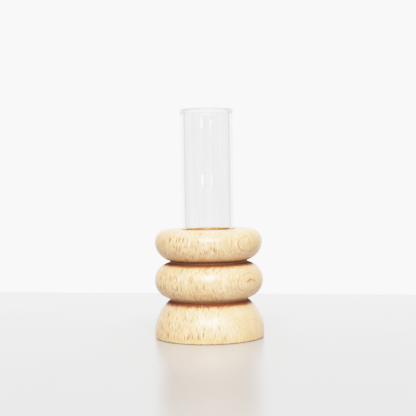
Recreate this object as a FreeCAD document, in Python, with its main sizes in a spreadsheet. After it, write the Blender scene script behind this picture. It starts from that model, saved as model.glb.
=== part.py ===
import FreeCAD, Part
import os
import Sketcher

# Test tube vase: a clear glass test tube standing in the bore of three turned beech pieces, a domed base,
# a middle ring and a top ring. Each ring has a spigot under it that is glued into a recess in the piece below.
# Millimetres, +Z up, origin in the middle of the foot.

# Driving sizes: name, value, what it measures
SIZES = [
    ("tube_diameter", 26.0, "outside of the glass tube"),
    ("tube_wall", 2.0, "thickness of the glass"),
    ("tube_length", 100.0, "round end to rim"),
    ("rim_overhang", 0.25, "how far the fire-polished rim stands out from the tube"),
    ("rim_flare_height", 2.0, "height over which the tube widens to its rim"),
    ("tube_clearance", 0.3, "gap all round between the tube and the bore"),
    ("stand_diameter", 54.4, "the wood at its widest, near the foot of the base"),
    ("base_height", 18.8, "foot to the top face of the base"),
    ("base_widest_level", 2.9, "height of the base's widest place above the foot"),
    ("base_top_diameter", 38.6, "flat top face of the base, and the bottom of the grooves"),
    ("foot_edge_radius", 0.8, "round between the foot and the side"),
    ("middle_ring_step", 0.2, "how far the middle ring stands back from the base's side"),
    ("middle_height", 19.4, "middle ring without its spigot"),
    ("collar_height", 0.8, "short collar above and below the middle ring's round, which widens the groove"),
    ("top_ring_step", 0.5, "how far the top ring stands back from the base's side"),
    ("top_bead_radius", 9.5, "round of the top ring below its widest place"),
    ("top_round_radius", 6.1, "round of the top ring above its widest place"),
    ("mouth_edge_radius", 0.5, "round at the mouth of the bore"),
    ("spigot_wall", 1.8, "thickness of the spigots round the bore"),
    ("spigot_length", 3.0, "spigot below the ring that carries it"),
    ("spigot_end_gap", 0.3, "room for glue under a spigot"),
    ("glue_gap", 0.05, "gap all round a glued piece"),
    ("socket_floor", 11.6, "wood left under the bore"),
    ("cushion_web", 1.5, "cork under the middle of the tube"),
    ("cushion_dish_depth", 1.5, "depth of the dish in the cork"),
    ("seat_gap", 0.2, "gap between the tube and the cork"),
]

# Radii and levels that follow from the driving sizes
STAND_RADIUS = "(Sizes.stand_diameter / 2)"
TUBE_RADIUS = "(Sizes.tube_diameter / 2)"
TUBE_INSIDE_RADIUS = f"({TUBE_RADIUS} - Sizes.tube_wall)"
RIM_RADIUS = f"({TUBE_RADIUS} + Sizes.rim_overhang)"
RIM_ROUND = f"(({RIM_RADIUS} - {TUBE_INSIDE_RADIUS}) / 2)"
BORE_RADIUS = f"({TUBE_RADIUS} + Sizes.tube_clearance)"
SPIGOT_RADIUS = f"({BORE_RADIUS} + Sizes.spigot_wall)"
RECESS_RADIUS = f"({SPIGOT_RADIUS} + Sizes.glue_gap)"
RECESS_DEPTH = "(Sizes.spigot_length + Sizes.spigot_end_gap)"
TOP_HEIGHT = "(Sizes.top_bead_radius + Sizes.top_round_radius)"
TOP_RING_LEVEL = "(Sizes.base_height + Sizes.middle_height)"
TUBE_LEVEL = "(Sizes.socket_floor + Sizes.cushion_web + Sizes.seat_gap)"

ZERO = "0"
SAME_PLACE = 1e-4

# How a sketch numbers its origin, its two axes and the middle of a circle
ORIGIN_INDEX = (-1, 1)
LEVEL_AXIS_INDEX = -1
TURNING_AXIS_INDEX = -2
CENTRE_INDEX = 3


def add_sizes(doc):
    """Puts the driving sizes in a sheet, one to a row, each with its name as alias."""
    sheet = doc.addObject("Spreadsheet::Sheet", "Sizes")
    for row, (name, size, note) in enumerate(SIZES, start=1):
        sheet.set(f"A{row}", note)
        sheet.set(f"B{row}", str(size))
        sheet.setAlias(f"B{row}", name)
    doc.recompute()


def measure(doc, expression):
    """Works out an expression on the sheet's sizes."""
    return float(doc.Sizes.evalExpression(expression))


def add_body(doc, label, level=ZERO):
    """Adds a body that stands at a level above the foot."""
    body = doc.addObject("PartDesign::Body", label)
    body.Label = label
    body.setExpression(".Placement.Base.z", level)
    return body


def add_sketch(body, name, plane_role, level=ZERO):
    """Adds a sketch on one of the body's own origin planes, raised to a level."""
    plane = next(feature for feature in body.Origin.OriginFeatures if feature.Role == plane_role)
    sketch = body.newObject("Sketcher::SketchObject", name)
    sketch.AttachmentSupport = [(plane, "")]
    sketch.MapMode = "FlatFace"
    sketch.setExpression(".AttachmentOffset.Base.z", level)
    return sketch


def bind(sketch, kind, elements, expression):
    """Adds a dimension to a sketch and ties it to an expression."""
    size = measure(sketch.Document, expression)
    row = sketch.addConstraint(Sketcher.Constraint(kind, *elements, size))
    sketch.setExpression(f"Constraints[{row}]", expression)


def pin_point(sketch, edge, end, radius, level):
    """Holds an end of an edge at a radius from the turning axis and at a level."""
    if radius == ZERO:
        sketch.addConstraint(Sketcher.Constraint("PointOnObject", edge, end, TURNING_AXIS_INDEX))
    else:
        bind(sketch, "DistanceX", (*ORIGIN_INDEX, edge, end), radius)
    if level == ZERO:
        sketch.addConstraint(Sketcher.Constraint("PointOnObject", edge, end, LEVEL_AXIS_INDEX))
    else:
        bind(sketch, "DistanceY", (*ORIGIN_INDEX, edge, end), level)


def arc_between(start, end, radius, side):
    """The short arc between two points, which bulges to the right of its way, or to the left for a side of -1."""
    way = end - start
    rise = radius - (radius ** 2 - (way.Length / 2) ** 2) ** 0.5
    across = FreeCAD.Vector(way.y, -way.x, 0).normalize()
    return Part.Arc(start, (start + end) / 2 + across * side * rise, end)


def end_at(sketch, edge, point):
    """Says which end of an edge, 1 or 2, is at a point."""
    return min((1, 2), key=lambda end: (sketch.getPoint(edge, end) - point).Length)


def draw_outline(sketch, stations):
    """Draws a closed outline through stations, each a radius, a level and the edge that leaves it.

    The edge is None where it is straight, or else the arc's radius and the side that it bulges to.
    """
    doc = sketch.Document
    points = [FreeCAD.Vector(measure(doc, radius), measure(doc, level), 0) for radius, level, _ in stations]
    followers = points[1:] + points[:1]
    edges = []
    for (radius, level, arc), start, end in zip(stations, points, followers):
        if arc is None:
            edge = sketch.addGeometry(Part.LineSegment(start, end))
        else:
            edge = sketch.addGeometry(arc_between(start, end, measure(doc, arc[0]), arc[1]))
        edges.append(edge)
    for edge, follower, corner in zip(edges, edges[1:] + edges[:1], followers):
        ends = (edge, end_at(sketch, edge, corner), follower, end_at(sketch, follower, corner))
        sketch.addConstraint(Sketcher.Constraint("Coincident", *ends))
    for edge, (radius, level, arc), start in zip(edges, stations, points):
        pin_point(sketch, edge, end_at(sketch, edge, start), radius, level)
        if arc is not None:
            bind(sketch, "Radius", (edge,), arc[0])


def turn(body, stations):
    """Makes a solid of revolution from an outline beside the turning axis."""
    sketch = add_sketch(body, "Outline", "XZ_Plane")
    draw_outline(sketch, stations)
    solid = body.newObject("PartDesign::Revolution", "Turning")
    solid.Profile = sketch
    solid.ReferenceAxis = (sketch, ["V_Axis"])
    solid.Angle = 360.0
    body.Document.recompute()


def draw_disc(body, name, radius, level):
    """Draws a circle round the turning axis at a level."""
    sketch = add_sketch(body, name, "XY_Plane", level)
    middle = FreeCAD.Vector(0, 0, 0)
    circle = sketch.addGeometry(Part.Circle(middle, FreeCAD.Vector(0, 0, 1), measure(body.Document, radius)))
    sketch.addConstraint(Sketcher.Constraint("Coincident", circle, CENTRE_INDEX, *ORIGIN_INDEX))
    bind(sketch, "Radius", (circle,), radius)
    return sketch


def add_spigot(body, root):
    """Adds the spigot under a ring, from its root, a level inside the ring, to its end below."""
    before = body.Tip.Shape.Volume
    pad = body.newObject("PartDesign::Pad", "Spigot")
    pad.Profile = draw_disc(body, "SpigotCircle", SPIGOT_RADIUS, root)
    pad.setExpression("Length", f"{root} + Sizes.spigot_length")
    pad.Reversed = True
    body.Document.recompute()
    if body.Tip.Shape.Volume <= before:
        raise RuntimeError(f"{body.Label}: the spigot added nothing")


def cut_round(body, name, radius, level, depth=None):
    """Cuts a round hole down from a level, to a depth or right through."""
    before = body.Tip.Shape.Volume
    pocket = body.newObject("PartDesign::Pocket", name)
    pocket.Profile = draw_disc(body, name + "Circle", radius, level)
    if depth is None:
        pocket.Type = "ThroughAll"
    else:
        pocket.setExpression("Length", depth)
    body.Document.recompute()
    if body.Tip.Shape.Volume >= before:
        raise RuntimeError(f"{body.Label}: {name} cut nothing")


def round_edge(body, name, radius, level, size):
    """Rounds the circular edge that lies at a radius and a level."""
    doc = body.Document
    solid = body.Tip
    wanted = measure(doc, radius)
    height = measure(doc, level)
    found = []
    for number, edge in enumerate(solid.Shape.Edges, start=1):
        circle = edge.Curve
        if isinstance(circle, Part.Circle) and abs(circle.Radius - wanted) < SAME_PLACE:
            if abs(circle.Center.z - height) < SAME_PLACE:
                found.append(f"Edge{number}")
    fillet = body.newObject("PartDesign::Fillet", name)
    fillet.Base = (solid, found)
    fillet.setExpression("Radius", size)
    doc.recompute()


def make_base(doc):
    """The domed base. One arc runs from the foot, past the widest place, to the flat top face."""
    top_radius = "(Sizes.base_top_diameter / 2)"
    rise = "(Sizes.base_height - Sizes.base_widest_level)"
    inset = f"({STAND_RADIUS} - {top_radius})"
    dome_radius = f"(({rise} ^ 2 + {inset} ^ 2) / (2 * {inset}))"
    foot_radius = f"({STAND_RADIUS} - {dome_radius} + sqrt({dome_radius} ^ 2 - Sizes.base_widest_level ^ 2))"
    body = add_body(doc, "base")
    turn(body, [
        (ZERO, ZERO, None),
        (foot_radius, ZERO, (dome_radius, 1)),
        (top_radius, "Sizes.base_height", None),
        (ZERO, "Sizes.base_height", None),
    ])
    round_edge(body, "FootEdge", foot_radius, ZERO, "Sizes.foot_edge_radius")
    cut_round(body, "Recess", RECESS_RADIUS, "Sizes.base_height", RECESS_DEPTH)
    cut_round(body, "Socket", BORE_RADIUS, "Sizes.base_height", "Sizes.base_height - Sizes.socket_floor")
    return body


def make_middle_ring(doc):
    """The middle ring: a half round between two short collars, which are as wide as the base's top face."""
    widest = f"({STAND_RADIUS} - Sizes.middle_ring_step)"
    middle = "(Sizes.middle_height / 2)"
    bead_radius = f"({middle} - Sizes.collar_height)"
    collar_radius = "(Sizes.base_top_diameter / 2)"
    reach = f"({collar_radius} - {widest} + {bead_radius})"
    rise = f"sqrt({bead_radius} ^ 2 - {reach} ^ 2)"
    body = add_body(doc, "middle_ring", "Sizes.base_height")
    turn(body, [
        (ZERO, ZERO, None),
        (collar_radius, ZERO, None),
        (collar_radius, f"({middle} - {rise})", (bead_radius, 1)),
        (widest, middle, (bead_radius, 1)),
        (collar_radius, f"({middle} + {rise})", None),
        (collar_radius, "Sizes.middle_height", None),
        (ZERO, "Sizes.middle_height", None),
    ])
    add_spigot(body, middle)
    cut_round(body, "Recess", RECESS_RADIUS, "Sizes.middle_height", RECESS_DEPTH)
    cut_round(body, "Bore", BORE_RADIUS, "Sizes.middle_height")
    return body


def make_top_ring(doc):
    """The top ring, with a quarter round below its widest place and a smaller one up to its flat top."""
    widest = f"({STAND_RADIUS} - Sizes.top_ring_step)"
    body = add_body(doc, "top_ring", TOP_RING_LEVEL)
    turn(body, [
        (ZERO, ZERO, None),
        (f"({widest} - Sizes.top_bead_radius)", ZERO, ("Sizes.top_bead_radius", 1)),
        (widest, "Sizes.top_bead_radius", ("Sizes.top_round_radius", 1)),
        (f"({widest} - Sizes.top_round_radius)", TOP_HEIGHT, None),
        (ZERO, TOP_HEIGHT, None),
    ])
    add_spigot(body, "Sizes.top_bead_radius")
    cut_round(body, "Bore", BORE_RADIUS, TOP_HEIGHT)
    round_edge(body, "MouthEdge", BORE_RADIUS, TOP_HEIGHT, "Sizes.mouth_edge_radius")
    return body


def make_tube_cushion(doc):
    """The cork disc on the floor of the bore, dished to the round end of the tube."""
    dish_radius = f"({TUBE_RADIUS} + Sizes.seat_gap)"
    dish_depth = "Sizes.cushion_dish_depth"
    brim_radius = f"sqrt(2 * {dish_radius} * {dish_depth} - {dish_depth} ^ 2)"
    outer_radius = f"({BORE_RADIUS} - Sizes.glue_gap)"
    thickness = f"(Sizes.cushion_web + {dish_depth})"
    body = add_body(doc, "tube_cushion", "Sizes.socket_floor")
    turn(body, [
        (ZERO, ZERO, None),
        (outer_radius, ZERO, None),
        (outer_radius, thickness, None),
        (brim_radius, thickness, (dish_radius, -1)),
        (ZERO, "Sizes.cushion_web", None),
    ])
    return body


def make_glass_tube(doc):
    """The test tube: a round end, a straight wall and a rounded rim that stands out a little."""
    rim_level = f"(Sizes.tube_length - {RIM_ROUND})"
    rim_middle = f"({RIM_RADIUS} - {RIM_ROUND})"
    body = add_body(doc, "glass_tube", TUBE_LEVEL)
    turn(body, [
        (ZERO, ZERO, (TUBE_RADIUS, 1)),
        (TUBE_RADIUS, TUBE_RADIUS, None),
        (TUBE_RADIUS, f"({rim_level} - Sizes.rim_flare_height)", None),
        (RIM_RADIUS, rim_level, (RIM_ROUND, 1)),
        (rim_middle, "Sizes.tube_length", (RIM_ROUND, 1)),
        (TUBE_INSIDE_RADIUS, rim_level, None),
        (TUBE_INSIDE_RADIUS, TUBE_RADIUS, (TUBE_INSIDE_RADIUS, -1)),
        (ZERO, "Sizes.tube_wall", None),
    ])
    return body


def check(doc, bodies):
    """Stops on any object that failed and on any solid that is missing or broken."""
    for thing in doc.Objects:
        if "Invalid" in thing.State or "Error" in thing.State:
            raise RuntimeError(f"{thing.Label}: {thing.State}")
    for body in bodies:
        if body.Shape.isNull() or not body.Shape.isValid() or len(body.Shape.Solids) != 1:
            raise RuntimeError(f"{body.Label}: not one sound solid")


def write(bodies):
    """Writes each piece to its own file and prints its size."""
    os.makedirs("parts", exist_ok=True)
    for body in bodies:
        body.Shape.exportStep(f"parts/{body.Label}.step")
        box = body.Shape.optimalBoundingBox()
        print(f"{body.Label}: {box.XLength:.2f} across, from {box.ZMin:.2f} to {box.ZMax:.2f}, "
              f"{body.Shape.Volume / 1000:.2f} cm3")


document = FreeCAD.newDocument("TestTubeVase")
add_sizes(document)
pieces = [
    make_base(document),
    make_middle_ring(document),
    make_top_ring(document),
    make_tube_cushion(document),
    make_glass_tube(document),
]
document.recompute()
check(document, pieces)
write(pieces)
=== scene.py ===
# %% [markdown]
# Test tube vase: a clear glass tube that stands in a turned beech stand of three pieces.
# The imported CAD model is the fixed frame. It is loaded first, and everything else is made round it, in
# metres, with +Z up and the origin in the middle of the foot.

# %% Load the frame
import math

import bmesh
import bpy
from mathutils import Matrix, Vector


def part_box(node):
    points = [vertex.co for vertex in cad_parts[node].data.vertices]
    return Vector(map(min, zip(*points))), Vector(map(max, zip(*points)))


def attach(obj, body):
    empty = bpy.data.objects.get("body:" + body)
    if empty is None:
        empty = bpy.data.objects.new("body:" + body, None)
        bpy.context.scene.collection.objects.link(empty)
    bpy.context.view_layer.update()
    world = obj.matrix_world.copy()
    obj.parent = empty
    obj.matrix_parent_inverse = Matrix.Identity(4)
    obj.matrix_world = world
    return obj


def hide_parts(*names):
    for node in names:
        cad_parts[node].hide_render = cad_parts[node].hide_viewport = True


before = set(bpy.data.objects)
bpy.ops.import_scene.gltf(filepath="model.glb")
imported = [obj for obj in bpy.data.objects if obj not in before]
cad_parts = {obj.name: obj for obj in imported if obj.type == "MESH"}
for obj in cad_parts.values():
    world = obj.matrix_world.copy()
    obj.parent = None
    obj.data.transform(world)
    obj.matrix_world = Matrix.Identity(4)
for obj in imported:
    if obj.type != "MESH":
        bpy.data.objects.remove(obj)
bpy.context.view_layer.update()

MM = 0.001
print("frame nodes:", sorted(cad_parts))

# %% [markdown]
# The camera comes first, because each later choice is judged through it. The photo was taken from half a
# metre away, a little above the stand's top, with a slight tilt down and a slight lean. The distance follows
# from how much lower the front of the foot lies in the picture than its sides, and the focal length from the
# size of the vase.

# %% Camera
IMAGE_SIDE = 416
FOCAL_PIXELS = 1050
SENSOR_WIDTH = 36.0
NEAREST_SEEN = 0.01
CAMERA_DISTANCE = 0.5228
CAMERA_HEIGHT = 0.0827
TILT_DOWN = math.radians(2.03)
TURN_LEFT = math.radians(-0.011)
LEAN = math.radians(-0.91)


def place_camera():
    """Makes the camera and stands it in front of the vase."""
    lens = bpy.data.cameras.new("photo_camera")
    lens.sensor_width = SENSOR_WIDTH
    lens.lens = FOCAL_PIXELS * SENSOR_WIDTH / IMAGE_SIDE
    lens.clip_start = NEAREST_SEEN
    camera = bpy.data.objects.new("photo_camera", lens)
    bpy.context.scene.collection.objects.link(camera)
    spot = Matrix.Translation((0, -CAMERA_DISTANCE, CAMERA_HEIGHT))
    turn = Matrix.Rotation(TURN_LEFT, 4, "Z")
    tilt = Matrix.Rotation(math.pi / 2 - TILT_DOWN, 4, "X")
    lean = Matrix.Rotation(LEAN, 4, "Z")
    camera.matrix_world = spot @ turn @ tilt @ lean
    bpy.context.scene.camera = camera
    return camera


camera = place_camera()
print("camera lens", round(camera.data.lens, 1), "mm")

# %% [markdown]
# Shader nodes read best as sums. This small class wraps an output socket, so that 1 - mask or mask * 0.5 adds
# the Math node that it stands for.


# %% Shader sums
class Signal:
    """A value, colour or vector that comes out of a shader node."""

    def __init__(self, finish, socket):
        self.finish = finish
        self.socket = socket

    def math(self, operation, *values):
        """Adds a Math node that works out this operation on these values."""
        return self.finish.node("ShaderNodeMath", {"operation": operation}, dict(enumerate(values)))

    def __add__(self, other):
        return self.math("ADD", self, other)

    def __radd__(self, other):
        return self.math("ADD", other, self)

    def __sub__(self, other):
        return self.math("SUBTRACT", self, other)

    def __rsub__(self, other):
        return self.math("SUBTRACT", other, self)

    def __mul__(self, other):
        return self.math("MULTIPLY", self, other)

    def __rmul__(self, other):
        return self.math("MULTIPLY", other, self)

    def __truediv__(self, other):
        return self.math("DIVIDE", self, other)

    def __pow__(self, other):
        return self.math("POWER", self, other)

    def __abs__(self):
        return self.math("ABSOLUTE", self)


print("shader sums ready")

# %% [markdown]
# Every other node comes from one method, which takes the node's type, its settings, and what goes into its
# sockets. The methods after it are the few steps that each finish here needs again and again: to blend, to
# stretch, to ease from one value to another, and to make soft noise. What they need is often kept in a small
# dict, in the words of the method that gets it: eased(value, **EDGE) with EDGE = dict(low=2, high=3) goes
# smoothly from 0 to 1 while the value goes from 2 to 3. The Mix node has separate sockets for numbers,
# vectors and colours, so the ones for colours are picked by their number.

# %% Node trees
MIX_FACTOR = 0
MIX_FIRST = 6
MIX_SECOND = 7
MIX_RESULT = 2


class Finish:
    """A node tree that is being built, for a material or for the world."""

    def __init__(self, owner):
        owner.use_nodes = True
        self.tree = owner.node_tree
        self.tree.nodes.clear()

    def node(self, kind, settings=None, sockets=None, output=0):
        """Adds a node and returns one of its outputs. Settings come first: they change the sockets."""
        made = self.tree.nodes.new(kind)
        for name, value in (settings or {}).items():
            if name == "stops":
                self.set_stops(made.color_ramp, value)
            else:
                setattr(made, name, value)
        for name, value in (sockets or {}).items():
            if isinstance(value, Signal):
                self.tree.links.new(value.socket, made.inputs[name])
            else:
                made.inputs[name].default_value = value
        return Signal(self, made.outputs[output]) if made.outputs else None

    def set_stops(self, ramp, stops):
        """Gives a colour ramp its stops, each a place from 0 to 1 and a colour."""
        while len(ramp.elements) < len(stops):
            ramp.elements.new(0.5)
        for element, (place, colour) in zip(ramp.elements, stops):
            element.position = place
            element.color = (*colour, 1)

    def place_in_mm(self):
        """Where a point of the object lies, in mm."""
        place = self.node("ShaderNodeTexCoord", output="Object")
        return self.scaled(place, (1 / MM, 1 / MM, 1 / MM))

    def blend(self, factor, first, second):
        """Goes from the first colour to the second while the factor goes from 0 to 1."""
        settings = {"data_type": "RGBA", "blend_type": "MIX", "clamp_factor": True}
        sockets = {MIX_FACTOR: factor, MIX_FIRST: as_colour(first), MIX_SECOND: as_colour(second)}
        return self.node("ShaderNodeMix", settings, sockets, output=MIX_RESULT)

    def layer(self, colour, mask, paint, strength=1.0):
        """Lays a paint over a colour, thicker where the mask is higher."""
        return self.blend(mask * strength, colour, paint)

    def scaled(self, vector, factors):
        """Multiplies a vector by another, part by part."""
        return self.node("ShaderNodeVectorMath", {"operation": "MULTIPLY"}, {0: vector, 1: factors})

    def along(self, vector, direction):
        """How far a place lies along a direction."""
        settings = {"operation": "DOT_PRODUCT"}
        return self.node("ShaderNodeVectorMath", settings, {0: vector, 1: direction}, output="Value")

    def eased(self, value, low, high, first=0.0, last=1.0):
        """Goes smoothly from first to last while the value goes from low to high."""
        sockets = {"Value": value, "From Min": low, "From Max": high, "To Min": first, "To Max": last}
        return self.node("ShaderNodeMapRange", {"interpolation_type": "SMOOTHSTEP"}, sockets)

    def cloud(self, place, scale=1.0, detail=2.0, roughness=0.5):
        """Soft noise from 0 to 1, mostly close to 0.5."""
        sockets = {"Vector": place, "Scale": scale, "Detail": detail, "Roughness": roughness}
        return self.node("ShaderNodeTexNoise", {}, sockets)

    def upright_cloud(self, place, across, upwards, detail=2.0, roughness=0.5):
        """Soft noise with one scale across and another upwards, as fibres that stand upright need."""
        stretched = self.scaled(place, (across, across, upwards))
        return self.cloud(stretched, detail=detail, roughness=roughness)

    def bump(self, height, depth, strength):
        """Shades the surface as if it rose by the depth, in metres, where the height goes from 0 to 1."""
        return self.node("ShaderNodeBump", {}, {"Strength": strength, "Distance": depth, "Height": height})

    def surface(self, sockets):
        """Ends a material with the shader for common surfaces, which gets these sockets."""
        shader = self.node("ShaderNodeBsdfPrincipled", {}, sockets)
        self.node("ShaderNodeOutputMaterial", {}, {"Surface": shader})


def as_colour(value):
    """Gives a colour its fourth part and leaves a signal as it is."""
    return value if isinstance(value, Signal) else (*value, 1.0)


print("node trees ready")

# %% [markdown]
# Colours are picked as a screen shows them, from 0 to 255, but shaders count light. So each one is turned
# into amounts of light before it goes into a node. Screens follow the sRGB formula: its darkest tones lie on
# a straight line, and all others on a steep curve.

# %% Colours
SRGB_LINE_END = 0.04045
SRGB_LINE_SLOPE = 12.92
SRGB_SHIFT = 0.055
SRGB_POWER = 2.4


def light_of(part):
    """The amount of light behind one part of a screen's colour, which goes from 0 to 1."""
    if part <= SRGB_LINE_END:
        return part / SRGB_LINE_SLOPE
    return ((part + SRGB_SHIFT) / (1 + SRGB_SHIFT)) ** SRGB_POWER


def screen(red, green, blue):
    """Turns a colour as a screen shows it, 0 to 255, into amounts of light."""
    return tuple(light_of(value / 255) for value in (red, green, blue))


WALL_WHITE = screen(248, 248, 248)
print("the white wall is", [round(part, 3) for part in WALL_WHITE])

# %% [markdown]
# The photo is very bright, yet its pale tones keep their detail, because a camera bends its brightest tones
# together below white. The same curve is laid over the picture here. It leaves the darker half alone, and
# lets the brighter half close in on white, which also makes the best lit wood paler and less yellow, as in
# the photo.

# %% Bright tones
SHOULDER = 0.5
CURVE_END = 3.0
CURVE_STEPS = 24
CURVE_FOR_ALL_COLOURS = 3


def shown_tone(light):
    """Where the curve puts an amount of light."""
    if light <= SHOULDER:
        return light
    room = 1 - SHOULDER
    return SHOULDER + room * (1 - math.exp(-(light - SHOULDER) / room))


def light_for(tone):
    """The amount of light that the curve puts at a tone."""
    if tone <= SHOULDER:
        return tone
    room = 1 - SHOULDER
    return SHOULDER - room * math.log(1 - (tone - SHOULDER) / room)


def set_tone_curve():
    """Lays the curve over the picture."""
    settings = bpy.context.scene.view_settings
    settings.view_transform = "Standard"
    settings.use_curve_mapping = True
    mapping = settings.curve_mapping
    mapping.white_level = (CURVE_END, CURVE_END, CURVE_END)
    curve = mapping.curves[CURVE_FOR_ALL_COLOURS]
    curve.points[1].location = (1, shown_tone(CURVE_END))
    for step in range(1, CURVE_STEPS):
        part = step / CURVE_STEPS
        curve.points.new(part, shown_tone(part * CURVE_END))
    mapping.update()


set_tone_curve()
WALL_LIGHT = light_for(WALL_WHITE[0])
print("the white wall needs a light of", round(WALL_LIGHT, 3))

# %% [markdown]
# The room: behind the table there is nothing but a white wall, far away and out of focus, so the world itself
# stands for it. To the sides and behind the camera the room is dimmer. The clear glass shows that: it bends
# the light from the sides into a grey line along each of its inner edges. How far a direction points at the
# wall or at the ceiling goes from 0, across it, to 1, straight at it.

# %% Room light
AWAY = (0.0, 1.0, 0.0)
UP = (0.0, 0.0, 1.0)
ROOM_LIGHT = 0.64
CEILING_LIGHT = 1.3
AT_THE_WALL = dict(low=0.5, high=0.9)
AT_THE_CEILING = dict(low=0.35, high=0.9)


def light_room():
    """Makes the world: a white wall behind the vase, a dimmer room round it and a bright ceiling."""
    world = bpy.data.worlds.new("white_room")
    bpy.context.scene.world = world
    room = Finish(world)
    way = room.node("ShaderNodeTexCoord", output="Generated")
    level = room.eased(room.along(way, AWAY), first=ROOM_LIGHT, last=WALL_LIGHT, **AT_THE_WALL)
    overhead = room.eased(room.along(way, UP), **AT_THE_CEILING)
    strength = level * (1 - overhead) + CEILING_LIGHT * overhead
    background = room.node("ShaderNodeBackground", {}, {"Color": (1, 1, 1, 1), "Strength": strength})
    room.node("ShaderNodeOutputWorld", {}, {"Surface": background})


light_room()
print("world:", bpy.context.scene.world.name)

# %% [markdown]
# One wide, soft light hangs in front of the vase and above the camera, like a window behind it. It makes the
# broad, pale shine on the upper front of every wooden round. A sun or spot light would throw hard shadows and
# show as a small hot mark, so it is an area light, whose size keeps both soft.

# %% Window light
WINDOW_SPOT = (0.0, -1.45, 1.17)
WINDOW_WIDTH = 1.2
WINDOW_HEIGHT = 0.8
WINDOW_WATTS = 52
AIM_LEVEL = 0.03


def hang_light(name, spot, width, height, watts):
    """Hangs a soft light that faces the vase."""
    lamp = bpy.data.lights.new(name, "AREA")
    lamp.shape = "RECTANGLE"
    lamp.size = width
    lamp.size_y = height
    lamp.energy = watts
    light = bpy.data.objects.new(name, lamp)
    bpy.context.scene.collection.objects.link(light)
    aim = Vector((0, 0, AIM_LEVEL)) - Vector(spot)
    light.matrix_world = Matrix.Translation(spot) @ aim.to_track_quat("-Z", "Y").to_matrix().to_4x4()
    return light


window = hang_light("window_light", WINDOW_SPOT, WINDOW_WIDTH, WINDOW_HEIGHT, WINDOW_WATTS)
print("window light at", [round(value, 2) for value in window.location])

# %% [markdown]
# Two very small, weak lamps stand low behind the camera, on its left. They light nothing to speak of, but the
# outside of the glass mirrors each one as a short bright mark. The photo shows two such marks.

# %% Small lamps
LAMP_LEFT = -0.569
LAMP_BEHIND = -1.402
LAMP_LEVELS = [0.173, 0.065]
LAMP_WIDTH = 0.15
LAMP_HEIGHT = 0.02
LAMP_WATTS = 0.1

for number, level in enumerate(LAMP_LEVELS):
    hang_light(f"lamp_{number + 1}", (LAMP_LEFT, LAMP_BEHIND, level), LAMP_WIDTH, LAMP_HEIGHT, LAMP_WATTS)
print("small lamps:", len(LAMP_LEVELS))

# %% [markdown]
# The table is a white, slightly glossy board. Its back edge shows as a line behind the vase, and it runs at a
# slight slant, so the board is turned a little. A plane would do for its top, but a real edge is a little
# rounded and catches light, so the board is a cube, stretched flat, with bevelled edges.

# %% Table
TABLE_WIDTH = 2.0
TABLE_DEPTH = 1.4
TABLE_THICKNESS = 0.03
TABLE_EDGE_ROUND = 1.5 * MM
TABLE_EDGE_STEPS = 4
TABLE_BEHIND = 0.186
TABLE_TURN = math.radians(-10.5)
TABLE_DROP = 0.05 * MM


def add_piece(name, mesh_tool, finish):
    """Makes an object of a finished bmesh, with its origin at the frame's origin."""
    mesh = bpy.data.meshes.new(name)
    mesh_tool.to_mesh(mesh)
    mesh_tool.free()
    mesh.materials.append(finish)
    piece = bpy.data.objects.new(name, mesh)
    bpy.context.scene.collection.objects.link(piece)
    return piece


def make_table():
    """Makes the board as a stretched block with rounded edges, its top just under the foot."""
    board = bmesh.new()
    bmesh.ops.create_cube(board, size=1)
    bmesh.ops.scale(board, vec=(TABLE_WIDTH, TABLE_DEPTH, TABLE_THICKNESS), verts=board.verts)
    bmesh.ops.bevel(
        board, geom=board.edges[:], offset=TABLE_EDGE_ROUND, segments=TABLE_EDGE_STEPS,
        profile=0.5, affect="EDGES", material=-1,
    )
    spot = Vector((0, -TABLE_DEPTH / 2, -TABLE_THICKNESS / 2))
    bmesh.ops.translate(board, vec=spot, verts=board.verts)
    bmesh.ops.rotate(board, cent=(0, 0, 0), matrix=Matrix.Rotation(TABLE_TURN, 3, "Z"), verts=board.verts)
    bmesh.ops.translate(board, vec=(0, TABLE_BEHIND, -TABLE_DROP), verts=board.verts)
    return board


print("the table's back edge is", round(TABLE_BEHIND / MM), "mm behind the vase")

# %% [markdown]
# The table's finish is white lacquer with a soft gloss, which mirrors the wood. How strongly it mirrors comes
# from its IOR, and how softly from its roughness. Broad, faint patches make its white and its gloss a little
# uneven, and painted light makes the board paler towards its back. These patterns are in metres.

# %% Table lacquer
TABLE_PATCHES = dict(scale=9.0, detail=3.0)
NEAR_GREY = screen(161, 161, 160)
NEAR_WHITE = screen(168, 168, 167)
FAR_PAINTED_LIGHT = screen(186, 186, 186)
PAINTED_LIGHT_BEHIND = dict(low=-0.15, high=0.2)
TABLE_ROUGHNESS = dict(low=0.3, high=0.7, first=0.2, last=0.26)
LACQUER_IOR = 1.65


def table_finish():
    """White lacquer with a soft gloss that is a little uneven, and painted light that pales it towards its
    back.
    """
    material = bpy.data.materials.new("table_lacquer")
    lacquer = Finish(material)
    place = lacquer.node("ShaderNodeTexCoord", output="Object")
    patches = lacquer.cloud(place, **TABLE_PATCHES)
    # painted light: the board grows paler towards its back
    painted_light_farther = lacquer.eased(lacquer.along(place, AWAY), **PAINTED_LIGHT_BEHIND)
    colour = lacquer.blend(painted_light_farther, lacquer.blend(patches, NEAR_GREY, NEAR_WHITE), FAR_PAINTED_LIGHT)
    gloss = lacquer.eased(patches, **TABLE_ROUGHNESS)
    lacquer.surface({"Base Color": colour, "Roughness": gloss, "IOR": LACQUER_IOR})
    return material


table = add_piece("table", make_table(), table_finish())
print("table vertices:", len(table.data.vertices))

# %% [markdown]
# Every piece of the vase is turned, so one lathe makes them all. The outline is drawn beside the turning axis
# with a pen: a straight run extrudes the pen's vertex, and a round spins it about the round's centre. Then
# the whole outline is spun about the axis. A curve with a Screw modifier would turn it too, but this way the
# mesh is finished at once, and its rounds are exact. The lengths are those of the CAD model. Only the flare
# under the tube's rim differs: it is straight there and curved here.

# %% Lathe
ARC_STEP = math.radians(3)
FEWEST_STEPS = 3
TURN_STEPS = 192
SAME_PLACE = 0.001 * MM


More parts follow.
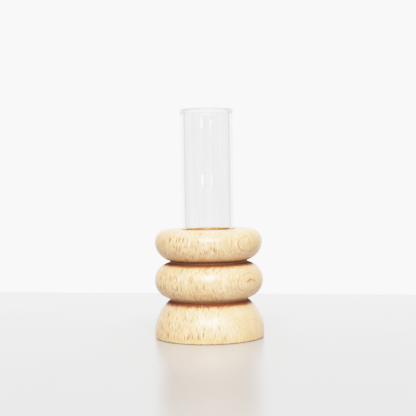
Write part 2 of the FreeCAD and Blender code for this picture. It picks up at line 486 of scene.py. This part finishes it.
class Outline:
    """An outline beside the turning axis, in metres, drawn with a pen."""

    def __init__(self, radius, level):
        self.mesh = bmesh.new()
        self.pen = self.mesh.verts.new((radius, 0, level))
        self.start = self.pen.co.copy()

    def line_to(self, radius, level):
        """Draws a straight run."""
        run = Vector((radius, 0, level)) - self.pen.co
        made = bmesh.ops.extrude_vert_indiv(self.mesh, verts=[self.pen])
        self.pen = made["verts"][0]
        bmesh.ops.translate(self.mesh, vec=run, verts=[self.pen])
        return self

    def round_to(self, radius, level, centre_radius, centre_level):
        """Draws a round about a centre, the short way."""
        centre = Vector((centre_radius, 0, centre_level))
        first = self.pen.co - centre
        last = Vector((radius, 0, level)) - centre
        swing = Vector((first.x, first.z)).angle_signed(Vector((last.x, last.z)))
        steps = max(FEWEST_STEPS, math.ceil(abs(swing) / ARC_STEP))
        made = bmesh.ops.spin(
            self.mesh, geom=[self.pen], cent=centre, axis=AWAY,
            angle=swing, steps=steps, use_duplicate=False,
        )
        self.pen = made["geom_last"][0]
        return self

    def close(self):
        """Draws a straight run back to where the outline began."""
        return self.line_to(self.start.x, self.start.z)

    def turn(self):
        """Spins the outline into a closed skin whose faces point outwards."""
        bmesh.ops.remove_doubles(self.mesh, verts=self.mesh.verts, dist=SAME_PLACE)
        bmesh.ops.spin(
            self.mesh, geom=self.mesh.verts[:] + self.mesh.edges[:], cent=(0, 0, 0), axis=UP,
            angle=math.tau, steps=TURN_STEPS, use_merge=True, use_duplicate=False,
        )
        bmesh.ops.remove_doubles(self.mesh, verts=self.mesh.verts, dist=SAME_PLACE)
        bmesh.ops.recalc_face_normals(self.mesh, faces=self.mesh.faces)
        return self.mesh


print("lathe ready,", TURN_STEPS, "steps to a turn")

# %% [markdown]
# Each turned piece is finished in the same way. It is shaded smooth, but not over its sharp edges. Then it is
# put under the body it moves with, and the CAD node it stands for is hidden; its finish sits in its material
# slot. What it measures is printed, with the number of edges where its skin is open, which has to be none.

# %% Dressing
SHARP_FROM = math.radians(28)
CM = 0.01


def smooth(piece):
    """Shades a piece smooth, but keeps its sharp edges."""
    piece.data.shade_smooth()
    piece.data.set_sharp_from_angle(angle=SHARP_FROM)


def report(piece):
    """Prints what a piece measures and whether its skin is closed."""
    low = [min(vertex.co[axis] for vertex in piece.data.vertices) / MM for axis in range(3)]
    high = [max(vertex.co[axis] for vertex in piece.data.vertices) / MM for axis in range(3)]
    tool = bmesh.new()
    tool.from_mesh(piece.data)
    open_edges = sum(1 for edge in tool.edges if len(edge.link_faces) != 2)
    volume = tool.calc_volume(signed=True) / CM ** 3
    tool.free()
    print(piece.name, "across", round(high[0] - low[0], 2), "from", round(low[2], 2), "to", round(high[2], 2),
          "mm,", round(volume, 2), "cm3,", open_edges, "open edges,", len(piece.data.polygons), "faces")


def dress(name, mesh_tool, finish, body, node):
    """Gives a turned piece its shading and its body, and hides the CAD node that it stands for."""
    piece = add_piece(name, mesh_tool, finish)
    smooth(piece)
    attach(piece, body)
    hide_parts(node)
    report(piece)
    return piece


print("edges stay sharp from", round(math.degrees(SHARP_FROM)), "degrees")

# %% [markdown]
# Beech is a pale, fine wood. A photo of beech laid over the pieces would stretch on their rounds. So all its
# patterns are drawn in three dimensions, in the frame's own coordinates and in mm, and the surfaces cut
# through them, as a turner's tool cuts through one stick of wood. First come the growth rings: curved sheets
# that stand upright and face the right front, so they show as ovals where a piece is widest there. Only the
# outermost rings are strong. The last one comes down only to the middle of the middle ring, where its end
# shows as a small arc.

# %% Growth rings
RIGHT = (1.0, 0.0, 0.0)
RING_CENTRE = (-61.2, 51.5, 0.0)
RING_SPACING = 1.1
RING_WAVES = dict(across=0.1, upwards=0.04, detail=2.0)
WAVE_SIZE = 0.9
RING_PATCHES = dict(across=0.3, upwards=0.3, detail=1.0)
PATCH_EDGE = dict(low=0.38, high=0.6, first=0.35)
UNEVEN_RINGS = dict(low=0.0, high=1.0, first=0.5)
OUTER_RINGS = dict(low=103.4, high=106.2, first=0.1)
RINGS_ABOVE_FOOT = dict(low=8, high=24, first=0.4)
LATE_WOOD_STARTS = dict(low=0.76, high=0.92)
LATE_WOOD_ENDS = dict(low=0.95, high=1.0)
LAST_RING = 107.0
LAST_RING_FOOT = 28.3
AT_LAST_RING = dict(low=LAST_RING - 0.6, high=LAST_RING - 0.4)
ABOVE_ITS_FOOT = dict(low=LAST_RING_FOOT, high=LAST_RING_FOOT + 0.9)


def off_axis(wood, place):
    """How far a place lies from the turning axis, or from another upright line if it is moved first."""
    flat = wood.scaled(place, (1, 1, 0))
    return wood.node("ShaderNodeVectorMath", {"operation": "LENGTH"}, {0: flat}, output="Value")


def ring_lines(wood, place):
    """The dark late wood of each growth ring, as thin lines from 0 to 1."""
    level = wood.along(place, UP)
    waves = wood.upright_cloud(place, **RING_WAVES) - 0.5
    patches = wood.eased(wood.upright_cloud(place, **RING_PATCHES), **PATCH_EDGE)
    apart = wood.node("ShaderNodeVectorMath", {"operation": "SUBTRACT"}, {0: place, 1: RING_CENTRE})
    distance = off_axis(wood, apart)
    rings = (distance + waves * WAVE_SIZE - LAST_RING) / RING_SPACING
    part = rings.math("FRACT", rings)
    number = rings.math("FLOOR", rings)
    chance = wood.node("ShaderNodeTexWhiteNoise", {"noise_dimensions": "1D"}, {"W": number})
    strength = wood.eased(chance, **UNEVEN_RINGS) * wood.eased(distance, **OUTER_RINGS)
    fainter_low_down = wood.eased(level, **RINGS_ABOVE_FOOT)
    line = wood.eased(part, **LATE_WOOD_STARTS) * (1 - wood.eased(part, **LATE_WOOD_ENDS))
    ended = wood.eased(distance, **AT_LAST_RING) * (1 - wood.eased(level, **ABOVE_ITS_FOOT))
    return line * patches * strength * fainter_low_down * (1 - ended)


print("growth rings every", RING_SPACING, "mm")

# %% [markdown]
# Beech's rays are thin upright blades, and each shows as a short dark fleck, most of them on the left. Flat
# Voronoi cells, stretched upwards, place them: a cell's random colour says whether it has a fleck, by its red
# part, and how large it is, by its green part. The right side of the wood stays clear of flecks. The left and
# the right sides of the rings are painted a little deeper in tone than the front, as painted shade for the
# weaker light that falls on the sides.

# %% Rays
RED = (1.0, 0.0, 0.0)
GREEN = (0.0, 1.0, 0.0)
RAY_ACROSS = (0.91, -0.41, 0.0)
FLECKED_SIDE = (-0.75, -0.66, 0.0)
FACING = dict(low=0.0, high=0.8)
CLEAR_SIDE = dict(low=0.5, high=0.85)
SIDEWAYS = dict(low=0.45, high=0.9)
ABOVE_BASE = dict(low=12, high=22, first=0.4)
STRONG_SHARE = 0.5
FLECK_SIZES = dict(low=0.0, high=1.0, first=0.18, last=0.42)
FLECK_EDGE = dict(low=0.45, high=1.0)
TOP_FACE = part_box("top_ring")[1].z / MM
NEAR_TOP_FACE = dict(low=TOP_FACE - 1.2, high=TOP_FACE - 0.1)
FAINTER_ON_TOP = 0.85


def clear_side(wood, place):
    """The right side of the wood, where no rays show, from 0 to 1."""
    return wood.eased(wood.along(place, RIGHT) / off_axis(wood, place), **CLEAR_SIDE)


def painted_side_shade(wood, place):
    """Painted shade: the left and the right side of the wood, most of all above the base, from 0 to 1."""
    sideways = abs(wood.along(place, RIGHT)) / off_axis(wood, place)
    return wood.eased(sideways, **SIDEWAYS) * wood.eased(wood.along(place, UP), **ABOVE_BASE)


def ray_flecks(wood, place, width, height, share):
    """Upright flecks in cells as wide and high as given, in mm.

    Only a share of the cells has a fleck, and half of those flecks are strong.
    """
    level = wood.along(place, UP)
    across = wood.along(place, RAY_ACROSS)
    cell = wood.node("ShaderNodeCombineXYZ", {}, {"X": across / width, "Y": level / height})
    settings = {"feature": "F1", "voronoi_dimensions": "2D"}
    near = wood.node("ShaderNodeTexVoronoi", settings, {"Vector": cell, "Scale": 1.0}, output="Distance")
    pick = wood.node("ShaderNodeTexVoronoi", settings, {"Vector": cell, "Scale": 1.0}, output="Color")
    kept = wood.eased(wood.along(pick, RED), 1 - share, 1 - share * STRONG_SHARE)
    size = wood.eased(wood.along(pick, GREEN), **FLECK_SIZES)
    facing = wood.eased(abs(wood.along(place, FLECKED_SIDE)) / off_axis(wood, place), **FACING)
    on_top = wood.eased(level, **NEAR_TOP_FACE)
    shape = (1 - wood.eased(near / size, **FLECK_EDGE)) * kept * facing
    return shape * (1 - clear_side(wood, place)) * (1 - on_top * FAINTER_ON_TOP)


print("rays ready, top face at", round(TOP_FACE, 1), "mm")

# %% [markdown]
# The grooves are dark brown, with ragged edges that follow the fibres. Partly this is real: a turner's tool
# gets hot in a narrow groove and burns the wood there. Partly it is painted shade, for the shadow and the
# warm bounced light in the hollow of each groove. The colour could be painted on by hand, but here it follows
# from how far a place is from the groove, so it runs evenly all round. It is darkest just under each groove.
# A wide weak glow of painted shade and a narrow dark core of burn and painted shade share the same two
# centres, so each groove's width is a factor. A weaker brown lines the bore: partly wood burnt by the drill,
# partly painted shade deep in the hole.

# %% Dark grooves
GROOVE_BOTTOM = 19.3
LOWER_GROOVE = dict(radius=20.2, level=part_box("base")[1].z / MM - 0.7, width=0.75)
UPPER_GROOVE = dict(radius=20.5, level=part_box("middle_ring")[1].z / MM - 1.2, width=0.95)
GROOVE_EDGE_FIBRES = dict(across=1.3, upwards=0.12, detail=3.0)
OUTSIDE_GROOVE = dict(low=GROOVE_BOTTOM + 0.1, high=GROOVE_BOTTOM + 1.0)
DARKEST_PART = 0.25
BORE_EDGE = 13.9
INSIDE_BORE = dict(low=BORE_EDGE - 0.25, high=BORE_EDGE + 0.1)
BORE_FIBRES = 0.6
BORE_TONE = 0.65


def groove_burn_and_shade(wood, place, reach, ragged):
    """How close a place lies to the bottom of one of the two grooves, from 0 to 1: burn and painted shade."""
    radius = off_axis(wood, place)
    level = wood.along(place, UP)
    outside = wood.eased(radius, **OUTSIDE_GROOVE)
    edge = (wood.upright_cloud(place, **GROOVE_EDGE_FIBRES) - 0.5) * outside * ragged
    burn_and_shade = 0.0
    for groove in (LOWER_GROOVE, UPPER_GROOVE):
        across = radius - groove["radius"]
        above = level - groove["level"]
        distance = (across * across + above * above) ** 0.5
        width = reach * groove["width"]
        burn_and_shade = (1 - wood.eased(distance + edge, width * DARKEST_PART, width)) + burn_and_shade
    return burn_and_shade


def bore_burn_and_shade(wood, place, fibres):
    """The wall of the bored hole, from 0 to 1: wood burnt by the drill, and painted shade deep in the hole.
    """
    inside = 1 - wood.eased(off_axis(wood, place), **INSIDE_BORE)
    return inside * (fibres * BORE_FIBRES + BORE_TONE)


print("stains at", round(LOWER_GROOVE["level"], 1), "and", round(UPPER_GROOVE["level"], 1), "mm")

# %% [markdown]
# Now the wood's colour is put together, from the broadest pattern to the finest: patches of tone, painted
# shade on the sides, a yellower band of painted shade near the foot, fibres and streaks, rings, flecks, and
# the browns of the grooves and the bore, which are partly burnt wood and partly painted shade. Each pattern
# is laid over the ones before it with its own brown and its own strength.

# %% Beech colours
TONE_PATCHES = dict(across=0.22, upwards=0.08, detail=3.0)
TONE_EDGE = dict(low=0.35, high=0.65)
DEEPER_WOOD = screen(214, 177, 134)
PALER_WOOD = screen(223, 191, 153)
SIDE_SHADE_BROWN = dict(paint=screen(204, 160, 106), strength=0.4)
FOOT_SHADE_BAND = dict(low=1.0, high=5.5)
FOOT_SHADE_BROWN = dict(paint=screen(226, 184, 124), strength=0.4)
FIBRE_EDGE = dict(low=0.45, high=0.7)
FIBRE_BROWN = dict(paint=screen(206, 160, 114), strength=0.5)
STREAKS = dict(across=1.7, upwards=0.15, detail=2.0, roughness=0.6)
BUSY_ABOVE_BASE = dict(low=12, high=26, first=0.6)
CALMER_ON_RIGHT = 0.5
DARK_STREAK_EDGE = dict(low=0.5, high=0.68)
DARK_STREAK = dict(paint=screen(196, 148, 98), strength=0.5)
PALE_STREAK_EDGE = dict(low=0.32, high=0.5)
PALE_STREAK = dict(paint=screen(250, 228, 198), strength=0.4)
RING_BROWN = dict(paint=screen(160, 94, 34), strength=1.5)
FINE_FLECKS = dict(width=0.38, height=3.4, share=0.8)
FINE_FLECK_BROWN = dict(paint=screen(182, 130, 72), strength=0.65)
FLECK_BROWN = screen(118, 64, 22)
WIDE_GROOVE_SHADE = dict(reach=4.4, ragged=5.0)
WIDE_GROOVE_SHADE_BROWN = dict(paint=screen(200, 128, 64), strength=0.5)
BURN_AND_SHADE_BROWN = dict(paint=screen(122, 55, 6), strength=0.95)
BORE_BURN_AND_SHADE_BROWN = screen(146, 92, 26)


def beech_colour(wood, place, fibres, rings, flecks, burn_and_shade):
    """Lays the patterns over each other, each with its own brown."""
    tone = wood.upright_cloud(place, **TONE_PATCHES)
    streaks = wood.upright_cloud(place, **STREAKS)
    level = wood.along(place, UP)
    busy = wood.eased(level, **BUSY_ABOVE_BASE) * (1 - clear_side(wood, place) * CALMER_ON_RIGHT)
    colour = wood.blend(wood.eased(tone, **TONE_EDGE), DEEPER_WOOD, PALER_WOOD)
    # painted shade on the left and the right side
    colour = wood.layer(colour, painted_side_shade(wood, place), **SIDE_SHADE_BROWN)
    # painted shade: a yellower band near the foot, which faces down, away from the window's shine
    colour = wood.layer(colour, 1 - wood.eased(level, **FOOT_SHADE_BAND), **FOOT_SHADE_BROWN)
    colour = wood.layer(colour, wood.eased(fibres, **FIBRE_EDGE), **FIBRE_BROWN)
    colour = wood.layer(colour, wood.eased(streaks, **DARK_STREAK_EDGE) * busy, **DARK_STREAK)
    colour = wood.layer(colour, (1 - wood.eased(streaks, **PALE_STREAK_EDGE)) * busy, **PALE_STREAK)
    colour = wood.layer(colour, rings, **RING_BROWN)
    colour = wood.layer(colour, ray_flecks(wood, place, **FINE_FLECKS), **FINE_FLECK_BROWN)
    colour = wood.blend(flecks, colour, FLECK_BROWN)
    # painted shade: a wide, warm glow round each groove
    colour = wood.layer(colour, groove_burn_and_shade(wood, place, **WIDE_GROOVE_SHADE), **WIDE_GROOVE_SHADE_BROWN)
    # the grooves' dark core, partly burnt wood and partly painted shade
    colour = wood.layer(colour, burn_and_shade, **BURN_AND_SHADE_BROWN)
    # the bore's brown: partly burnt wood, partly painted shade in the deep hole
    return wood.blend(bore_burn_and_shade(wood, place, fibres), colour, BORE_BURN_AND_SHADE_BROWN)


print("beech colours ready, pale wood", [round(part, 3) for part in PALER_WOOD])

# %% [markdown]
# The wax on the wood is a thin clear coat, which the grooves' dark core of burn and painted shade doesn't
# have. The bump is very slight: fibres stand up a little, and flecks and rings lie a little lower. The three
# pieces share one material.

# %% Beech
FIBRES = dict(across=2.2, upwards=0.16, detail=4.0, roughness=0.7)
BOLD_FLECKS = dict(width=0.52, height=4.6, share=0.5)
CORE = dict(reach=3.2, ragged=4.0)
WOOD_ROUGHNESS = dict(low=0.3, high=0.7, first=0.3, last=0.4)
BURN_AND_SHADE_ROUGHNESS = 0.4
FIBRE_RISE = 0.3
FLECK_DROP = 0.6
RING_DROP = 0.2
WOOD_BUMP = dict(depth=0.05 * MM, strength=0.25)
WAX = 0.4
WAX_ROUGHNESS = 0.42


def beech_finish():
    """Pale beech, sanded and waxed."""
    material = bpy.data.materials.new("beech")
    wood = Finish(material)
    place = wood.place_in_mm()
    fibres = wood.upright_cloud(place, **FIBRES)
    rings = ring_lines(wood, place)
    flecks = ray_flecks(wood, place, **BOLD_FLECKS)
    # the grooves' dark core: burnt wood and painted shade
    burn_and_shade = groove_burn_and_shade(wood, place, **CORE)
    height = fibres * FIBRE_RISE - flecks * FLECK_DROP - rings * RING_DROP
    wood.surface({
        "Base Color": beech_colour(wood, place, fibres, rings, flecks, burn_and_shade),
        "Roughness": wood.eased(fibres, **WOOD_ROUGHNESS) + burn_and_shade * BURN_AND_SHADE_ROUGHNESS,
        "Normal": wood.bump(height, **WOOD_BUMP),
        "Coat Weight": WAX * (1 - burn_and_shade),
        "Coat Roughness": WAX_ROUGHNESS,
    })
    return material


beech = beech_finish()
print("beech nodes:", len(beech.node_tree.nodes))

# %% [markdown]
# The side of the base is one round, widest just above the foot and drawn in towards the flat top. The edge of
# the foot is lightly rounded. The top has a recess for the spigot of the ring above, and the socket for the
# tube. Both could be cut out with a Boolean modifier, but as they are round too, the same outline draws them.
# Radii and levels come from the frame where it gives them.

# %% Base
base_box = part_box("base")
BASE_RADIUS = base_box[1].x
BASE_TOP = base_box[1].z
BASE_WIDEST_LEVEL = 2.9 * MM
BASE_TOP_RADIUS = GROOVE_BOTTOM * MM
FOOT_ROUND = 0.8 * MM
BORE_RADIUS = 13.3 * MM
RECESS_RADIUS = 15.15 * MM
RECESS_DEPTH = 3.3 * MM
SOCKET_FLOOR = 11.6 * MM


def make_base():
    """Turns the base."""
    rise = BASE_TOP - BASE_WIDEST_LEVEL
    inset = BASE_RADIUS - BASE_TOP_RADIUS
    dome = (rise ** 2 + inset ** 2) / (2 * inset)
    dome_centre = (BASE_RADIUS - dome, BASE_WIDEST_LEVEL)
    drop = BASE_WIDEST_LEVEL - FOOT_ROUND
    foot_centre = (dome_centre[0] + math.sqrt((dome - FOOT_ROUND) ** 2 - drop ** 2), FOOT_ROUND)
    reach = dome / (dome - FOOT_ROUND)
    meeting = [middle + (edge - middle) * reach for middle, edge in zip(dome_centre, foot_centre)]
    line = Outline(0, 0).line_to(foot_centre[0], 0)
    line.round_to(*meeting, *foot_centre).round_to(BASE_TOP_RADIUS, BASE_TOP, *dome_centre)
    line.line_to(RECESS_RADIUS, BASE_TOP).line_to(RECESS_RADIUS, BASE_TOP - RECESS_DEPTH)
    line.line_to(BORE_RADIUS, BASE_TOP - RECESS_DEPTH).line_to(BORE_RADIUS, SOCKET_FLOOR)
    line.line_to(0, SOCKET_FLOOR)
    return line.turn()


dress("beech_base", make_base(), beech, "stand", "base")

# %% [markdown]
# The middle ring is a thick disc whose edge is a full round between two short collars, which are the bottoms
# of the grooves. A torus has the round but no collars, so this is an outline again. A spigot under the ring
# enters the base, and the recess on its top takes the spigot of the top ring.

# %% Middle ring
middle_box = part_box("middle_ring")
MIDDLE_RADIUS = middle_box[1].x
MIDDLE_TOP = middle_box[1].z
SPIGOT_RADIUS = 15.1 * MM
SPIGOT_LENGTH = 3.0 * MM
COLLAR_RADIUS = GROOVE_BOTTOM * MM
COLLAR_HEIGHT = 0.8 * MM


def spigot_outline(ring_level):
    """Starts a ring's outline inside its bore and draws its spigot, up to the ring's lower face."""
    line = Outline(BORE_RADIUS, ring_level - SPIGOT_LENGTH)
    line.line_to(SPIGOT_RADIUS, ring_level - SPIGOT_LENGTH)
    return line.line_to(SPIGOT_RADIUS, ring_level)


def make_middle_ring():
    """Turns the middle ring."""
    bead = (MIDDLE_TOP - BASE_TOP) / 2 - COLLAR_HEIGHT
    centre = (MIDDLE_RADIUS - bead, (MIDDLE_TOP + BASE_TOP) / 2)
    rise = math.sqrt(bead ** 2 - (COLLAR_RADIUS - centre[0]) ** 2)
    line = spigot_outline(BASE_TOP).line_to(COLLAR_RADIUS, BASE_TOP).line_to(COLLAR_RADIUS, centre[1] - rise)
    line.round_to(MIDDLE_RADIUS, centre[1], *centre).round_to(COLLAR_RADIUS, centre[1] + rise, *centre)
    line.line_to(COLLAR_RADIUS, MIDDLE_TOP)
    line.line_to(RECESS_RADIUS, MIDDLE_TOP).line_to(RECESS_RADIUS, MIDDLE_TOP - RECESS_DEPTH)
    line.line_to(BORE_RADIUS, MIDDLE_TOP - RECESS_DEPTH)
    return line.close().turn()


dress("beech_middle_ring", make_middle_ring(), beech, "stand", "middle_ring")

# %% [markdown]
# The top ring is a full round below its widest place, and a smaller one above it, which runs into a flat top.
# The mouth of the bore has a small round, where the wood is sanded so that it doesn't splinter.

# %% Top ring
top_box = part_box("top_ring")
TOP_RADIUS = top_box[1].x
TOP_LEVEL = top_box[1].z
TOP_BEAD = 9.5 * MM
MOUTH_ROUND = 0.5 * MM


def make_top_ring():
    """Turns the top ring."""
    widest = MIDDLE_TOP + TOP_BEAD
    shoulder = TOP_LEVEL - widest
    mouth = BORE_RADIUS + MOUTH_ROUND
    line = spigot_outline(MIDDLE_TOP).line_to(TOP_RADIUS - TOP_BEAD, MIDDLE_TOP)
    line.round_to(TOP_RADIUS, widest, TOP_RADIUS - TOP_BEAD, widest)
    line.round_to(TOP_RADIUS - shoulder, TOP_LEVEL, TOP_RADIUS - shoulder, widest)
    line.line_to(mouth, TOP_LEVEL)
    line.round_to(BORE_RADIUS, TOP_LEVEL - MOUTH_ROUND, mouth, TOP_LEVEL - MOUTH_ROUND)
    return line.close().turn()


dress("beech_top_ring", make_top_ring(), beech, "stand", "top_ring")

# %% [markdown]
# Cork: small grains pressed together, each in its own brown, with dark seams between them. Voronoi cells give
# the grains, and their colours pick each grain's brown. A little noise bends the cells, because real grains
# have no straight edges.

# %% Cork
GRAIN_BEND = {"Scale": 0.8, "Detail": 2.0}
GRAIN_SCALE = 0.75
GRAIN_BROWNS = [(0.0, screen(120, 82, 48)), (0.45, screen(168, 122, 76)), (1.0, screen(204, 160, 112))]
SPECKLES = dict(scale=5.0, detail=3.0)
SPECKLE_EDGE = dict(low=0.55, high=0.7)
SPECKLE_BROWN = dict(paint=screen(96, 62, 36), strength=0.4)
SEAM_EDGE = dict(low=0.0, high=0.09)
SEAM_BROWN = screen(78, 50, 28)
SEAM_SLOPE = dict(low=0.0, high=0.15)
SPECKLE_RISE = 0.5
CORK_BUMP = dict(depth=0.2 * MM, strength=0.6)
CORK_ROUGHNESS = 0.92


def cork_finish():
    """Pressed cork, matt and grainy."""
    material = bpy.data.materials.new("cork")
    cork = Finish(material)
    place = cork.place_in_mm()
    bent = cork.node("ShaderNodeTexNoise", {}, {"Vector": place, **GRAIN_BEND}, output="Color")
    place = cork.node("ShaderNodeVectorMath", {"operation": "ADD"}, {0: place, 1: bent})
    cells = {"Vector": place, "Scale": GRAIN_SCALE}
    grain = cork.node("ShaderNodeTexVoronoi", {"feature": "F1"}, cells, output="Color")
    seam = cork.node("ShaderNodeTexVoronoi", {"feature": "DISTANCE_TO_EDGE"}, cells, output="Distance")
    pick = cork.node("ShaderNodeSeparateColor", {}, {"Color": grain})
    speckle = cork.cloud(place, **SPECKLES)
    colour = cork.node("ShaderNodeValToRGB", {"stops": GRAIN_BROWNS}, {0: pick})
    colour = cork.layer(colour, cork.eased(speckle, **SPECKLE_EDGE), **SPECKLE_BROWN)
    colour = cork.blend(1 - cork.eased(seam, **SEAM_EDGE), colour, SEAM_BROWN)
    height = cork.eased(seam, **SEAM_SLOPE) + speckle * SPECKLE_RISE
    cork.surface({
        "Base Color": colour,
        "Roughness": CORK_ROUGHNESS,
        "Normal": cork.bump(height, **CORK_BUMP),
    })
    return material


pressed_cork = cork_finish()
print("cork nodes:", len(pressed_cork.node_tree.nodes))

# %% [markdown]
# The cushion is a cork disc on the floor of the socket, which the tube's round end stands on. Its dish is
# part of a ball that is a little larger than the tube's end, so the tube finds the middle by itself. Little
# of it shows, only through the glass and when the tube is lifted out, so it has no fine shapes.

# %% Cushion
cushion_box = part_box("tube_cushion")
CUSHION_RADIUS = cushion_box[1].x
CUSHION_TOP = cushion_box[1].z
CUSHION_WEB = 1.5 * MM
DISH_RADIUS = 13.2 * MM


def make_cushion():
    """Turns the cork disc, with a dish for the round end of the tube."""
    dish_bottom = SOCKET_FLOOR + CUSHION_WEB
    dish_centre = dish_bottom + DISH_RADIUS
    brim = math.sqrt(DISH_RADIUS ** 2 - (dish_centre - CUSHION_TOP) ** 2)
    line = Outline(0, SOCKET_FLOOR).line_to(CUSHION_RADIUS, SOCKET_FLOOR)
    line.line_to(CUSHION_RADIUS, CUSHION_TOP).line_to(brim, CUSHION_TOP)
    line.round_to(0, dish_bottom, 0, dish_centre)
    return line.turn()


dress("cork_cushion", make_cushion(), pressed_cork, "stand", "tube_cushion")

# %% [markdown]
# The tube has a real wall with an outer and an inner skin, because the light bends at both, and that alone
# gives the pale zone at each side and the grey line inside it. A Solidify modifier would give a wall too, but
# with a square rim, so the outline draws both skins and the melted rim between them. The short holding runs
# beside each round keep its smooth shading from creeping along the straight wall.

# %% Tube
tube_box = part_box("glass_tube")
RIM_RADIUS = tube_box[1].x
TUBE_BOTTOM = tube_box[0].z
TUBE_TOP = tube_box[1].z
TUBE_RADIUS = 13.0 * MM
TUBE_WALL = 2.0 * MM
FLARE_HEIGHT = 2.0 * MM
FLARE_DEPTH = RIM_RADIUS - TUBE_RADIUS
HOLDING = 0.5 * MM


def make_tube():
    """Turns the tube: round end, straight wall, and a rim that is melted round and stands out a little."""
    inside = TUBE_RADIUS - TUBE_WALL
    end_level = TUBE_BOTTOM + TUBE_RADIUS
    rim_round = (RIM_RADIUS - inside) / 2
    rim_level = TUBE_TOP - rim_round
    rim_middle = RIM_RADIUS - rim_round
    flare_start = rim_level - FLARE_HEIGHT
    flare = (FLARE_HEIGHT ** 2 + FLARE_DEPTH ** 2) / (2 * FLARE_DEPTH)
    line = Outline(0, TUBE_BOTTOM).round_to(TUBE_RADIUS, end_level, 0, end_level)
    line.line_to(TUBE_RADIUS, end_level + HOLDING)
    line.line_to(TUBE_RADIUS, flare_start - HOLDING).line_to(TUBE_RADIUS, flare_start)
    line.round_to(RIM_RADIUS, rim_level, TUBE_RADIUS + flare, flare_start)
    line.round_to(rim_middle, TUBE_TOP, rim_middle, rim_level)
    line.round_to(inside, rim_level, rim_middle, rim_level)
    line.line_to(inside, rim_level - HOLDING).line_to(inside, end_level + HOLDING)
    line.line_to(inside, end_level).round_to(0, TUBE_BOTTOM + TUBE_WALL, 0, end_level)
    return line.turn()


print("the tube is", round((TUBE_TOP - TUBE_BOTTOM) / MM, 1), "mm long")

# %% [markdown]
# The glass is clear, and its IOR of 1.5 says how strongly it bends light. It has faint lines along its
# length, as drawn tubing has, which a very shallow bump makes. The rim was melted round in a flame, so it is
# a little cloudier than the wall, and its lip is the palest. Thin clear glass throws hardly any shadow, but
# the renderer would give it a dark one, so the tube's shadow is switched off.

# %% Glass
GLASS_LINES = dict(across=0.45, upwards=0.012, detail=2.0)
LINE_EDGE = dict(low=0.35, high=0.65)
LINE_TINT = screen(236, 238, 236)
CLEAR_TINT = screen(246, 247, 246)
RIM_BAND = dict(low=1.5, high=3.0)
RIM_TINT = screen(239, 240, 239)
RIM_ROUGHNESS = 0.2
LIP_BAND = dict(low=0.4, high=1.0)
LIP_TINT = screen(254, 254, 254)
SMUDGES = dict(scale=0.12, detail=4.0)
SMUDGE_ROUGHNESS = dict(low=0.55, high=0.8, first=0.0, last=0.03)
GLASS_BUMP = dict(depth=0.02 * MM, strength=0.1)
GLASS_IOR = 1.5


def glass_finish():
    """Clear glass with faint lines along its length."""
    material = bpy.data.materials.new("clear_glass")
    glass = Finish(material)
    place = glass.place_in_mm()
    lines = glass.upright_cloud(place, **GLASS_LINES)
    smudges = glass.cloud(place, **SMUDGES)
    below_top = TUBE_TOP / MM - glass.along(place, UP)
    rim = 1 - glass.eased(below_top, **RIM_BAND)
    lip = 1 - glass.eased(below_top, **LIP_BAND)
    colour = glass.blend(glass.eased(lines, **LINE_EDGE), LINE_TINT, CLEAR_TINT)
    colour = glass.blend(lip, glass.blend(rim, colour, RIM_TINT), LIP_TINT)
    glass.surface({
        "Base Color": colour,
        "Roughness": glass.eased(smudges, **SMUDGE_ROUGHNESS) + rim * RIM_ROUGHNESS,
        "Normal": glass.bump(lines, **GLASS_BUMP),
        "IOR": GLASS_IOR,
        "Transmission Weight": 1.0,
    })
    return material


tube = dress("clear_tube", make_tube(), glass_finish(), "tube", "glass_tube")
tube.visible_shadow = False
